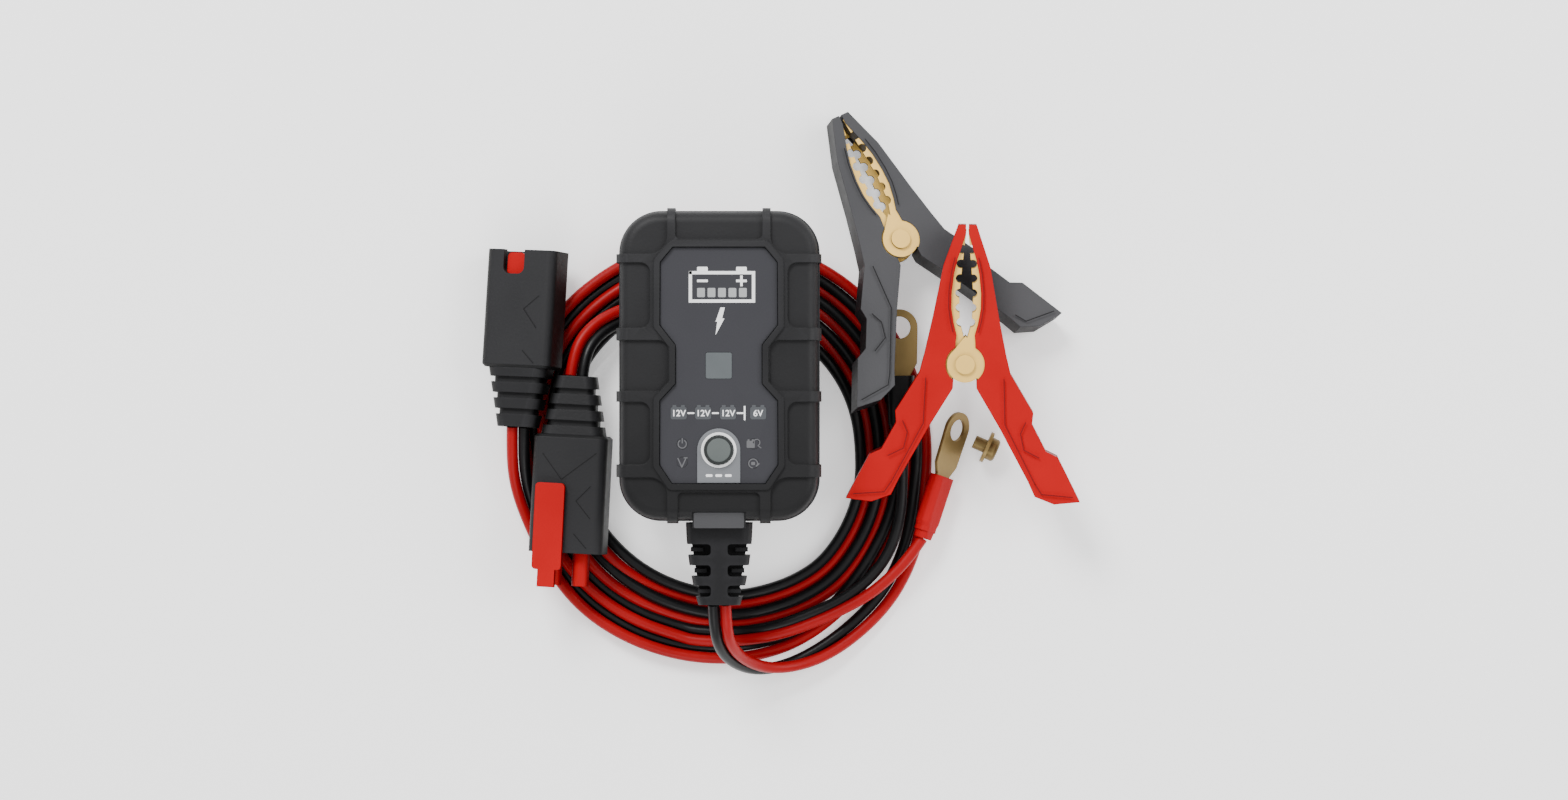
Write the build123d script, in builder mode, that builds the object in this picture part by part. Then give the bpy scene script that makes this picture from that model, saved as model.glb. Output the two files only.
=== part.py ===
"""Direct plug-in car battery charger with a coiled twin lead, lead connectors, ring eyelets and two clamps.

Millimetres, +Z up, everything lying on the floor z = 0. The origin is under the middle of the charger and the
clamps. Places that are measured from the middle of the charger go through spot().
"""

import math
import os

from build123d import *

os.makedirs("parts", exist_ok=True)

# Charger case
CHARGER_X = -37.28
CHARGER_Y = -2.85
CASE_HALF_WIDTH = 29.0
CASE_HALF_HEIGHT = 44.6
CASE_CORNER = 12.5
CASE_BACK_Z = 17.5
SEAM_Z = 32.0
SEAL_THICK = 0.6
FRONT_Z = SEAM_Z + SEAL_THICK
CASE_TOP_Z = 48.6
SHOULDER = 4.2
PAD_DEPTH = 1.1
RIM_WIDTH = 1.7
RIM_TOP_Z = 49.2
PANEL_BACK_Z = 47.4
PANEL_TOP_Z = 48.2
WALL = 2.2
INNER_TOP_Z = 45.0

# Strain relief on the case
RELIEF_Z = 33.0
RELIEF_HALF_WIDTH = 9.5
RELIEF_TIP_HALF = 6.0
RELIEF_START_Y = -44.6
RELIEF_END_Y = -68.0
CAP_HALF_WIDTH = 7.5
CAP_Y = -41.3

# Mains blades
BLADE_SPACING = 12.7
BLADE_WIDTH = 6.35
BLADE_THICK = 1.5
BLADE_Y = 4.0

# Mode button
BUTTON_Y = -23.8
BUTTON_RADIUS = 4.1
BUTTON_TOP_Z = 50.0
BUTTON_TRAVEL = 0.8

# Circuit board
BOARD_Z = 37.0
BOARD_THICK = 1.6

# Lead
WIRE = 3.3
COIL_X = -0.7
COIL_Y = -24.2
COIL_INNER = 39.4
COIL_OUTER = 61.0
COIL_HEIGHT = 5.2

# Clamps
CLAMP_HALF_THICK = 5.5
RIVET_RADIUS = 1.9
RIVET_HOLE = 1.95
RIVET_HEAD = 2.8
HUB_CLEAR = 5.6
EAR_RADIUS = 5.2
FLANGE = 0.7

# Eyelets
RING_BORE = 3.2
RING_HALF_WIDTH = 5.3
RING_THICK = 1.0

# Connectors
BODY_WIDTH = 21.7
BODY_THICK = 12.0
BODY_LENGTH = 34.0
NECK_LENGTH = 17.0


def spot(x, y, z=0.0):
    """A point measured from the middle of the charger."""
    return Vector(CHARGER_X + x, CHARGER_Y + y, z)


def charger_plane(z):
    """The horizontal plane at height z whose origin is the middle of the charger."""
    return Plane(spot(0, 0, z))


def save(part, node):
    """Label one finished piece and write it."""
    part.label = node
    export_step(part, f"parts/{node}.step")


def block(x, y, z_low, z_high, width, height, corner=0.0):
    """An upright block on the charger, centred at x, y."""
    with BuildPart() as made:
        with BuildSketch(charger_plane(z_low)):
            with Locations((x, y)):
                if corner:
                    RectangleRounded(width, height, corner)
                else:
                    Rectangle(width, height)
        extrude(amount=z_high - z_low)
    return made.part


def disc(x, y, z_low, z_high, radius):
    """An upright cylinder on the charger, centred at x, y."""
    with BuildPart() as made:
        with BuildSketch(charger_plane(z_low)):
            with Locations((x, y)):
                Circle(radius)
        extrude(amount=z_high - z_low)
    return made.part


# ---------------------------------------------------------------- charger case


def case_body(inset, low, high, soft_top, soft_bottom=0.0):
    """A case-shaped solid with softened top or bottom edges."""
    width = 2 * (CASE_HALF_WIDTH - inset)
    height = 2 * (CASE_HALF_HEIGHT - inset)
    with BuildPart() as body:
        with BuildSketch(charger_plane(low)):
            RectangleRounded(width, height, CASE_CORNER - inset)
        extrude(amount=high - low)
        if soft_top:
            fillet(body.faces().sort_by(Axis.Z)[-1].edges(), soft_top)
        if soft_bottom:
            fillet(body.faces().sort_by(Axis.Z)[0].edges(), soft_bottom)
    return body.part


def pad_regions():
    """Plan outlines of the recessed pads, drawn in the sketch that calls it."""
    far = 50.0
    corner_x = 14.6
    corner_y = 31.5
    for side in (-1, 1):
        for inner, low, high in ((19.4, 10.6, 29.1), (14.3, -7.2, 7.2), (19.4, -28.0, -10.2)):
            with Locations((side * (inner + far) / 2, (low + high) / 2)):
                RectangleRounded(far - inner, high - low, 2.8)
        for end in (-1, 1):
            with Locations((side * (corner_x + far) / 2, end * (corner_y + far) / 2)):
                RectangleRounded(far - corner_x, far - corner_y, 5.0)
    for middle, half_width in (((35.6 + far) / 2, 12.3), (-(35.8 + far) / 2, 11.6)):
        with Locations((0, middle)):
            RectangleRounded(2 * half_width, far - 35.7, 1.5)


def panel_outline(grow=0.0):
    """The hourglass control panel as a flat face."""
    right = [(13.0, 33.5), (16.6, 29.2), (16.7, 11.4), (12.3, 5.8)]
    right += [(12.3, -5.1), (16.7, -9.9), (16.8, -28.0), (13.2, -33.4)]
    left = [(-x, y) for x, y in reversed(right)]
    with BuildSketch() as outline:
        with BuildLine():
            Polyline(*right, *left, close=True)
        make_face()
        if grow:
            offset(amount=grow, kind=Kind.ARC)
    return outline.sketch


def frame_web():
    """The raised web of the front shell, between the pads."""
    with BuildPart() as web:
        add(case_body(0.0, FRONT_Z, CASE_TOP_Z, SHOULDER))
        with BuildSketch(charger_plane(FRONT_Z)):
            pad_regions()
        extrude(amount=CASE_TOP_Z, mode=Mode.SUBTRACT)
    return web.part


STATUS_SPOTS = [(-10.3, -22.1), (-10.3, -27.3), (9.9, -22.1), (9.7, -27.6)]
BATTERY_SPOTS = [(-11.3, -13.4), (-4.4, -13.4), (2.6, -13.4), (11.1, -13.4)]
WINDOW_SIZE = 7.4
SCREW_SPOTS = [(-22.0, 37.0), (22.0, 37.0), (-22.0, -37.0), (22.0, -37.0)]
SCREW_RADIUS = 1.4
BOSS_RADIUS = 3.4

with BuildPart() as front_shell:
    add(case_body(PAD_DEPTH, FRONT_Z, CASE_TOP_Z - PAD_DEPTH, SHOULDER - PAD_DEPTH))
    add(frame_web())
    with BuildSketch(charger_plane(INNER_TOP_Z)):
        add(panel_outline(RIM_WIDTH))
    extrude(amount=RIM_TOP_Z - INNER_TOP_Z)
    add(case_body(PAD_DEPTH + WALL, FRONT_Z - 1, INNER_TOP_Z, 1.0), mode=Mode.SUBTRACT)
    with BuildSketch(charger_plane(PANEL_BACK_Z)):
        add(panel_outline())
    extrude(amount=10, mode=Mode.SUBTRACT)
    # The way in for the button's plunger and for the light of each lamp
    with BuildSketch(charger_plane(INNER_TOP_Z - 1)):
        with Locations((0, BUTTON_Y)):
            Circle(BUTTON_RADIUS + 0.9)
        with Locations((0, 0)):
            Rectangle(WINDOW_SIZE - 1.4, WINDOW_SIZE - 1.4)
        with Locations(*STATUS_SPOTS, *BATTERY_SPOTS):
            Circle(1.2)
    extrude(amount=10, mode=Mode.SUBTRACT)
    # The notch for the head of the strain relief
    with BuildSketch(charger_plane(RELIEF_Z - 6.6)):
        with Locations((0, CAP_Y - 5)):
            Rectangle(2 * CAP_HALF_WIDTH, 10)
    extrude(amount=30, mode=Mode.SUBTRACT)
    # Screw bosses
    with BuildSketch(charger_plane(FRONT_Z)):
        with Locations(*SCREW_SPOTS):
            Circle(BOSS_RADIUS)
            Circle(SCREW_RADIUS, mode=Mode.SUBTRACT)
    extrude(amount=INNER_TOP_Z - FRONT_Z + 0.5)
save(front_shell.part, "front_shell")

with BuildPart() as rear_shell:
    add(case_body(0.4, CASE_BACK_Z, SEAM_Z, 0.0, 3.0))
    add(case_body(0.4 + WALL + 0.8, CASE_BACK_Z + WALL, SEAM_Z + 1, 0.0, 1.0), mode=Mode.SUBTRACT)
    with BuildSketch(charger_plane(RELIEF_Z - 6.6)):
        with Locations((0, CAP_Y - 5)):
            Rectangle(2 * CAP_HALF_WIDTH, 10)
    extrude(amount=30, mode=Mode.SUBTRACT)
    with BuildSketch(charger_plane(CASE_BACK_Z + WALL - 0.5)):
        with Locations(*SCREW_SPOTS):
            Circle(BOSS_RADIUS)
    extrude(amount=SEAM_Z - CASE_BACK_Z - WALL + 0.5)
    # Screw holes with counterbores from the back, and the blade opening
    with BuildSketch(charger_plane(CASE_BACK_Z - 1)):
        with Locations(*SCREW_SPOTS):
            Circle(SCREW_RADIUS)
        with Locations((0, BLADE_Y)):
            Rectangle(BLADE_SPACING + 8, BLADE_WIDTH + 6)
    extrude(amount=30, mode=Mode.SUBTRACT)
    with BuildSketch(charger_plane(CASE_BACK_Z - 1)):
        with Locations(*SCREW_SPOTS):
            Circle(2.6)
    extrude(amount=4, mode=Mode.SUBTRACT)
save(rear_shell.part, "rear_shell")

with BuildPart() as case_seal:
    with BuildSketch(charger_plane(SEAM_Z)):
        RectangleRounded(2 * CASE_HALF_WIDTH - 2.4, 2 * CASE_HALF_HEIGHT - 2.4, CASE_CORNER - 1.2)
        RectangleRounded(2 * CASE_HALF_WIDTH - 6.2, 2 * CASE_HALF_HEIGHT - 6.2, CASE_CORNER - 3.1, mode=Mode.SUBTRACT)
        with Locations((0, CAP_Y - 5)):
            Rectangle(2 * CAP_HALF_WIDTH, 10, mode=Mode.SUBTRACT)
    extrude(amount=SEAL_THICK)
save(case_seal.part, "case_seal")

with BuildPart() as case_screws:
    with BuildSketch(charger_plane(CASE_BACK_Z + 1.2)):
        with Locations(*SCREW_SPOTS):
            Circle(2.4)
    extrude(amount=1.8)
    with BuildSketch(charger_plane(CASE_BACK_Z + 3)):
        with Locations(*SCREW_SPOTS):
            Circle(SCREW_RADIUS)
    extrude(amount=22)
save(case_screws.part, "case_screws")

# ---------------------------------------------------------------- control panel

BUTTON_PLATE_BOTTOM = -33.1
PLATE_HALF_WIDTH = 6.1
RING_OUTER = 5.0
PANEL_STEP = 0.3


def button_plate_outline(grow=0.0):
    """The arch behind the button, drawn in the sketch that calls it."""
    height = BUTTON_Y - BUTTON_PLATE_BOTTOM
    with Locations((0, BUTTON_Y)):
        Circle(PLATE_HALF_WIDTH + grow)
    with Locations((0, BUTTON_Y - height / 2)):
        Rectangle(2 * (PLATE_HALF_WIDTH + grow), height)


with BuildPart() as control_panel:
    with BuildSketch(charger_plane(PANEL_BACK_Z)):
        add(panel_outline(-0.15))
        button_plate_outline()
        with Locations((0, 0)):
            RectangleRounded(WINDOW_SIZE, WINDOW_SIZE, 0.6, mode=Mode.SUBTRACT)
        with Locations(*BATTERY_SPOTS):
            RectangleRounded(4.6, 3.6, 0.7, mode=Mode.SUBTRACT)
        with Locations(*STATUS_SPOTS):
            Circle(1.5, mode=Mode.SUBTRACT)
        with Locations((0, BUTTON_Y)):
            Circle(RING_OUTER, mode=Mode.SUBTRACT)
    extrude(amount=PANEL_TOP_Z - PANEL_BACK_Z)
save(control_panel.part, "control_panel")

with BuildPart() as button_plate:
    with BuildSketch(charger_plane(PANEL_TOP_Z)):
        button_plate_outline(-0.02)
        with Locations((0, BUTTON_Y)):
            Circle(RING_OUTER, mode=Mode.SUBTRACT)
    extrude(amount=PANEL_STEP)
save(button_plate.part, "button_plate")

with BuildPart() as button_ring:
    with BuildSketch(charger_plane(PANEL_BACK_Z)):
        with Locations((0, BUTTON_Y)):
            Circle(RING_OUTER)
            Circle(BUTTON_RADIUS + 0.15, mode=Mode.SUBTRACT)
    extrude(amount=PANEL_TOP_Z + PANEL_STEP + 0.25 - PANEL_BACK_Z)
save(button_ring.part, "button_ring")

with BuildPart() as mode_button:
    with BuildSketch(charger_plane(BOARD_Z + BOARD_THICK + 3.6 + BUTTON_TRAVEL + 0.1)):
        with Locations((0, BUTTON_Y)):
            Circle(1.6)
    extrude(amount=4)
    with BuildSketch(charger_plane(PANEL_BACK_Z - 1.2)):
        with Locations((0, BUTTON_Y)):
            Circle(BUTTON_RADIUS)
    extrude(amount=BUTTON_TOP_Z - PANEL_BACK_Z + 1.2)
    fillet(mode_button.faces().sort_by(Axis.Z)[-1].edges(), 1.1)
save(mode_button.part, "mode_button")

save(block(0, 0, PANEL_BACK_Z, PANEL_TOP_Z + 0.1, WINDOW_SIZE - 0.02, WINDOW_SIZE - 0.02, 0.6), "charge_window")

with BuildPart() as battery_windows:
    with BuildSketch(charger_plane(PANEL_BACK_Z)):
        with Locations(*BATTERY_SPOTS):
            RectangleRounded(4.58, 3.58, 0.7)
    extrude(amount=PANEL_TOP_Z - PANEL_BACK_Z + 0.05)
save(battery_windows.part, "battery_windows")

with BuildPart() as status_windows:
    with BuildSketch(charger_plane(PANEL_BACK_Z)):
        with Locations(*STATUS_SPOTS):
            Circle(1.48)
    extrude(amount=PANEL_TOP_Z - PANEL_BACK_Z + 0.05)
save(status_windows.part, "status_windows")

# ---------------------------------------------------------------- circuit inside

BOARD_TOP_Z = BOARD_Z + BOARD_THICK
with BuildPart() as circuit_board:
    with BuildSketch(charger_plane(BOARD_Z)):
        RectangleRounded(47, 72, 3)
        with Locations(*SCREW_SPOTS):
            Circle(BOSS_RADIUS + 0.4, mode=Mode.SUBTRACT)
    extrude(amount=BOARD_THICK)
save(circuit_board.part, "circuit_board")

with BuildPart() as transformer_core:
    add(block(-9, -12, BOARD_Z - 14, BOARD_Z, 18, 15, 0.8))
    add(block(-9, -12, BOARD_Z - 11, BOARD_Z - 3, 12.4, 16, 0), mode=Mode.SUBTRACT)
    add(block(-9, -12, BOARD_Z - 12, BOARD_Z - 2, 4.4, 6, 0))
save(transformer_core.part, "transformer_core")

with BuildPart() as transformer_winding:
    add(block(-9, -12, BOARD_Z - 10.8, BOARD_Z - 3.2, 12.0, 18, 2.5))
    add(block(-9, -12, BOARD_Z - 12, BOARD_Z, 4.6, 6.2, 0), mode=Mode.SUBTRACT)
save(transformer_winding.part, "transformer_winding")

with BuildPart() as capacitors:
    add(disc(12, 24, BOARD_Z - 12, BOARD_Z, 5))
    add(disc(12, 12.8, BOARD_Z - 9, BOARD_Z, 4))
    add(disc(-13, -27, BOARD_Z - 9, BOARD_Z, 4))
save(capacitors.part, "capacitors")

with BuildPart() as heat_sink:
    add(block(14, -16, BOARD_Z - 13, BOARD_Z, 2.0, 24))
    for step in range(4):
        add(block(17, -26 + 6.5 * step, BOARD_Z - 13, BOARD_Z, 4.2, 1.4))
save(heat_sink.part, "heat_sink")

with BuildPart() as power_transistors:
    for middle in (-22, -11):
        add(block(11.5, middle, BOARD_Z - 10, BOARD_Z, 3.0, 8, 0))
save(power_transistors.part, "power_transistors")

with BuildPart() as board_chips:
    add(block(4, 16, BOARD_TOP_Z, BOARD_TOP_Z + 1.4, 8, 8))
    add(block(-12, 10, BOARD_TOP_Z, BOARD_TOP_Z + 1.4, 5, 4))
    add(block(13, -4, BOARD_TOP_Z, BOARD_TOP_Z + 2.0, 5, 6))
save(board_chips.part, "board_chips")

save(disc(-12, 24, BOARD_Z - 8, BOARD_Z, 3.2), "fuse")

with BuildPart() as indicator_leds:
    with BuildSketch(charger_plane(BOARD_TOP_Z)):
        with Locations((0, 0), *STATUS_SPOTS, *BATTERY_SPOTS):
            Rectangle(1.6, 1.2)
    extrude(amount=0.8)
save(indicator_leds.part, "indicator_leds")

with BuildPart() as mode_switch:
    add(block(0, BUTTON_Y, BOARD_TOP_Z, BOARD_TOP_Z + 2.6, 6, 6, 0.5))
    add(disc(0, BUTTON_Y, BOARD_TOP_Z + 2.6, BOARD_TOP_Z + 3.6, 1.6))
save(mode_switch.part, "mode_switch")

CARRIER_TOP_Z = CASE_BACK_Z + 6
with BuildPart() as blade_carrier:
    add(block(0, BLADE_Y, CASE_BACK_Z, CASE_BACK_Z + WALL, BLADE_SPACING + 7.98, BLADE_WIDTH + 5.98))
    add(block(0, BLADE_Y, CASE_BACK_Z + WALL, CARRIER_TOP_Z, BLADE_SPACING + 10, BLADE_WIDTH + 7))
    with BuildSketch(charger_plane(CASE_BACK_Z - 1)):
        with Locations((-BLADE_SPACING / 2, BLADE_Y), (BLADE_SPACING / 2, BLADE_Y)):
            Rectangle(BLADE_THICK, BLADE_WIDTH)
    extrude(amount=20, mode=Mode.SUBTRACT)
save(blade_carrier.part, "blade_carrier")

with BuildPart() as ac_blades:
    with BuildSketch(charger_plane(0)):
        with Locations((-BLADE_SPACING / 2, BLADE_Y), (BLADE_SPACING / 2, BLADE_Y)):
            Rectangle(BLADE_THICK, BLADE_WIDTH)
    extrude(amount=CARRIER_TOP_Z + 2)
    chamfer(ac_blades.faces().group_by(Axis.Z)[0].edges().filter_by(Axis.Y), 0.5)
    for side in (-1, 1):
        with BuildSketch(Plane(spot(side * BLADE_SPACING / 2 - 2, BLADE_Y, 3.2), x_dir=(0, 1, 0), z_dir=(1, 0, 0))):
            Circle(1.6)
        extrude(amount=4, mode=Mode.SUBTRACT)
save(ac_blades.part, "ac_blades")

# ---------------------------------------------------------------- strain relief


def across_lead(y):
    """The upright plane across the lead at y, facing away from the case."""
    return Plane(spot(0, y, RELIEF_Z), x_dir=(1, 0, 0), z_dir=(0, -1, 0))


RELIEF_LENGTH = RELIEF_START_Y - RELIEF_END_Y
SLOT_YS = (-52.2, -58.2, -64.0)

with BuildPart() as strain_relief:
    # Head held between the shells, with the sloping cap that shows in front
    with BuildSketch(across_lead(CAP_Y)):
        with Locations((0, 3.4)):
            Rectangle(2 * CAP_HALF_WIDTH - 0.02, 20 - 0.02)
    extrude(amount=CAP_Y - RELIEF_START_Y + 1.4)
    with BuildSketch(Plane(spot(0, CAP_Y, RELIEF_Z + 13.3), x_dir=(1, 0, 0), z_dir=(0, -0.47, 1))):
        Rectangle(30, 30)
    extrude(amount=20, mode=Mode.SUBTRACT)
    with BuildSketch(across_lead(RELIEF_START_Y)):
        RectangleRounded(2 * RELIEF_HALF_WIDTH, 15.2, 3.2)
    with BuildSketch(across_lead(RELIEF_START_Y - 0.5 * RELIEF_LENGTH)):
        RectangleRounded(2 * RELIEF_HALF_WIDTH - 2.0, 13.2, 3.2)
    with BuildSketch(across_lead(RELIEF_END_Y)):
        RectangleRounded(2 * RELIEF_TIP_HALF, 9.2, 3.2)
    loft()
    for slot_y in SLOT_YS:
        narrow = RELIEF_HALF_WIDTH - 4.0 * (RELIEF_START_Y - slot_y) / RELIEF_LENGTH
        for side in (-1, 1):
            with BuildSketch(Plane(spot(0, slot_y, 0))):
                with Locations((side * (narrow + 2.4), 0)):
                    RectangleRounded(2 * narrow, 3.2, 1.0)
            extrude(amount=60, mode=Mode.SUBTRACT)
            with BuildSketch(Plane(spot(0, slot_y, RELIEF_Z - 3.2))):
                with Locations((side * (narrow - 1.9), 0)):
                    Rectangle(3.6, 1.2)
            extrude(amount=6.4)
save(strain_relief.part, "strain_relief")

with BuildPart() as board_wires:
    for side in (-1, 1):
        with BuildSketch(Plane(spot(side * 3, CAP_Y, RELIEF_Z), x_dir=(1, 0, 0), z_dir=(0, 1, 0))):
            Circle(1.1)
        extrude(amount=9)
        with BuildSketch(charger_plane(RELIEF_Z - 1.0)):
            with Locations((side * 3, CAP_Y + 8)):
                Circle(1.1)
        extrude(amount=BOARD_Z - RELIEF_Z + 1.0)
save(board_wires.part, "board_wires")

# ---------------------------------------------------------------- lead


def side_route(points, gap):
    """The route of one conductor, shifted sideways by gap from the middle of the pair."""
    moved = []
    for index, point in enumerate(points):
        before = points[max(index - 1, 0)]
        after = points[min(index + 1, len(points) - 1)]
        ahead = Vector(after[0] - before[0], after[1] - before[1], 0).normalized()
        sideways = ahead.cross(Vector(0, 0, 1))
        moved.append(spot(*point) + sideways * gap)
    return moved


def bend_radii(points):
    """The largest arc at each corner of a route: 0.45 of the shorter run over the tangent of half the turn."""
    radii = []
    for before, corner, after in zip(points, points[1:], points[2:]):
        turn = math.radians((corner - before).get_angle(after - corner))
        shorter = min((corner - before).length, (after - corner).length)
        radii.append(0.45 * shorter / math.tan(turn / 2))
    return radii


def tube(points, node):
    """One conductor along its route, as straight runs joined by tangent arcs."""
    radii = bend_radii(points)
    with BuildPart() as made:
        with BuildLine() as path:
            FilletPolyline(*points, radius=radii)
        with BuildSketch(path.line ^ 0):
            Circle(WIRE / 2)
        sweep()
    exact = math.pi * (WIRE / 2) ** 2 * path.wires()[0].length
    print(node, "radii", [round(radius, 1) for radius in radii], "volume over exact", made.part.volume / exact)
    return made.part


PAIR_GAP = 1.66
CHARGER_ROUTE = [
    (0.0, -68.0, 33.0),
    (0.2, -74.0, 31.4),
    (1.4, -80.2, 25.6),
    (5.0, -84.8, 17.4),
    (11.5, -87.9, 9.2),
    (20.0, -87.3, 4.0),
    (30.0, -83.2, 1.75),
    (40.2, -76.2, 1.7),
    (48.6, -67.2, 1.7),
    (54.2, -56.6, 1.7),
    (56.8, -46.0, 1.9),
    (57.2, -36.0, 2.2),
]
PLUG_ROUTE = [
    (-23.0, 16.6, 2.6),
    (-30.0, 14.4, 5.2),
    (-36.4, 10.4, 9.6),
    (-40.6, 4.2, 12.6),
    (-41.4, -2.8, 13.0),
]
SOCKET_ROUTE = [
    (-58.4, -17.5, 12.0),
    (-58.6, -24.5, 10.8),
    (-58.0, -32.0, 7.0),
    (-56.0, -39.0, 3.8),
    (-53.0, -45.5, 2.6),
]
RED_CLAMP_ROUTE = [
    (27.0, -75.6, 4.0),
    (37.0, -71.2, 6.6),
    (47.0, -65.0, 8.1),
    (55.0, -57.6, 8.0),
    (58.5, -49.7, 7.8),
]
BLACK_CLAMP_ROUTE = [
    (25.4, -72.4, 4.0),
    (35.0, -67.6, 6.6),
    (43.6, -60.4, 7.1),
    (49.5, -51.0, 7.2),
    (52.2, -41.0, 7.2),
    (52.8, -31.0, 7.4),
    (52.5, -21.5, 8.0),
]

save(tube(side_route(CHARGER_ROUTE, PAIR_GAP), "charger_lead_red"), "charger_lead_red")
save(tube(side_route(CHARGER_ROUTE, -PAIR_GAP), "charger_lead_black"), "charger_lead_black")
save(tube(side_route(RED_CLAMP_ROUTE, 0), "clamp_lead_red"), "clamp_lead_red")
save(tube(side_route(BLACK_CLAMP_ROUTE, 0), "clamp_lead_black"), "clamp_lead_black")

for node, route in (("plug_tails", PLUG_ROUTE), ("socket_tails", SOCKET_ROUTE)):
    with BuildPart() as tails:
        add(tube(side_route(route, PAIR_GAP), node))
        add(tube(side_route(route, -PAIR_GAP), node))
    save(tails.part, node)

with BuildPart() as lead_coil:
    with BuildSketch(Plane(spot(COIL_X, COIL_Y, 0))):
        Circle(COIL_OUTER)
        Circle(COIL_INNER, mode=Mode.SUBTRACT)
    extrude(amount=COIL_HEIGHT)
save(lead_coil.part, "lead_coil")

# ---------------------------------------------------------------- lying planes


def lying_plane(x, y, height, heading, slope_x, slope_y):
    """A plane through a point beside the charger, turned by heading and tilted by its two slopes."""
    turn = math.radians(heading)
    right = Vector(math.cos(turn), math.sin(turn), 0)
    ahead = Vector(-math.sin(turn), math.cos(turn), 0)
    normal = Vector(0, 0, 1) - right * slope_x - ahead * slope_y
    return Plane(spot(x, y, height), x_dir=right + Vector(0, 0, slope_x), z_dir=normal)


def across(plane, along):
    """The plane across a lying plane's own Y, at a distance along it, facing along +Y."""
    origin = plane.from_local_coords((0, along, 0))
    return Plane(origin, x_dir=-plane.x_dir, z_dir=plane.y_dir)


# ---------------------------------------------------------------- lead connectors

NECK_WIDTHS = (12.0, 18.5)
NECK_THICKS = (8.0, 10.4)
MOUTH = NECK_LENGTH + BODY_LENGTH
CAVITY_WIDTH = 17.0
CAVITY_THICK = 7.4
CAVITY_DEPTH = 15.0
NOTCH_X = -1.8
PIN_X = 4.0


def connector_neck(plane):
    """The ribbed relief behind a connector half, with holes for the two conductors."""
    with BuildPart() as neck:
        with BuildSketch(across(plane, 0)):
            RectangleRounded(NECK_WIDTHS[0], NECK_THICKS[0], 3.4)
        with BuildSketch(across(plane, NECK_LENGTH)):
            RectangleRounded(NECK_WIDTHS[1], NECK_THICKS[1], 3.4)
        loft()
        for index in range(3):
            along = 3.6 + 4.6 * index
            grow = along / NECK_LENGTH
            width = NECK_WIDTHS[0] + grow * (NECK_WIDTHS[1] - NECK_WIDTHS[0])
            thick = NECK_THICKS[0] + grow * (NECK_THICKS[1] - NECK_THICKS[0])
            with BuildSketch(across(plane, along)):
                Rectangle(40, 40)
                RectangleRounded(width - 2.2, thick - 2.2, 2.2, mode=Mode.SUBTRACT)
            extrude(amount=1.6, mode=Mode.SUBTRACT)
    return neck.part


def connector_shell(plane, notched):
    """One connector body with an open mouth and, on the socket, a notch for the latch."""
    with BuildPart() as shell:
        with BuildSketch(across(plane, NECK_LENGTH)):
            RectangleRounded(BODY_WIDTH, BODY_THICK, 2.6)
        extrude(amount=BODY_LENGTH)
        chamfer(shell.faces().sort_by(Axis(plane.origin, plane.y_dir))[0].edges(), 0.8)
        with BuildSketch(across(plane, MOUTH)):
            RectangleRounded(CAVITY_WIDTH, CAVITY_THICK, 1.6)
        extrude(amount=-CAVITY_DEPTH, mode=Mode.SUBTRACT)
        if notched:
            with BuildSketch(plane.offset(CAVITY_THICK / 2 - 0.5)):
                with Locations((NOTCH_X, MOUTH)):
                    RectangleRounded(6.5, 14.0, 2.0)
            extrude(amount=10, mode=Mode.SUBTRACT)
    return shell.part


def connector_insert(plane, back, front, pin_radius):
    """The red block in a connector's mouth, from back to front along it, with two pin holes."""
    with BuildPart() as insert:
        with BuildSketch(across(plane, back)):
            RectangleRounded(CAVITY_WIDTH - 0.02, CAVITY_THICK - 0.02, 1.6)
            with Locations((-PIN_X, 0), (PIN_X, 0)):
                Circle(pin_radius, mode=Mode.SUBTRACT)
        extrude(amount=front - back)
    return insert.part


def connector_pins(plane, back, front, radius):
    """Two brass contacts along a connector."""
    with BuildPart() as pins:
        with BuildSketch(across(plane, back)):
            with Locations((-PIN_X, 0), (PIN_X, 0)):
                Circle(radius)
        extrude(amount=front - back)
    return pins.part


SOCKET_PLANE = lying_plane(-58.4, -17.5, 12.0, -2.6, 0.40, -0.04)
PLUG_PLANE = lying_plane(-41.4, -2.8, 13.0, 177.1, -0.16, 0.0)
INSERT_BACK = MOUTH - CAVITY_DEPTH
INSERT_FRONT = MOUTH - 8.0
LATCH_X = 4.6
LATCH_WIDTH = 8.6
LATCH_LENGTH = 25.0
LATCH_THICK = 1.8
LATCH_GAP = 0.3
BARREL_LENGTH = 10.0

save(connector_neck(SOCKET_PLANE), "socket_relief")
save(connector_shell(SOCKET_PLANE, True), "socket_shell")
save(connector_insert(SOCKET_PLANE, INSERT_BACK, INSERT_FRONT, 1.2), "socket_insert")
save(connector_pins(SOCKET_PLANE, INSERT_BACK, INSERT_FRONT - 0.5, 1.19), "socket_contacts")

save(connector_neck(PLUG_PLANE), "plug_relief")
save(connector_shell(PLUG_PLANE, False), "plug_shell")
with BuildPart() as plug_insert:
    add(connector_insert(PLUG_PLANE, INSERT_BACK, MOUTH - 0.5, 1.2))
    with BuildSketch(across(PLUG_PLANE, MOUTH - 0.5)):
        with Locations((-PIN_X, 0), (PIN_X, 0)):
            Circle(2.5)
            Circle(1.2, mode=Mode.SUBTRACT)
    extrude(amount=BARREL_LENGTH)
save(plug_insert.part, "plug_insert")
save(connector_pins(PLUG_PLANE, INSERT_BACK, MOUTH + 6.0, 1.19), "plug_contacts")

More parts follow.
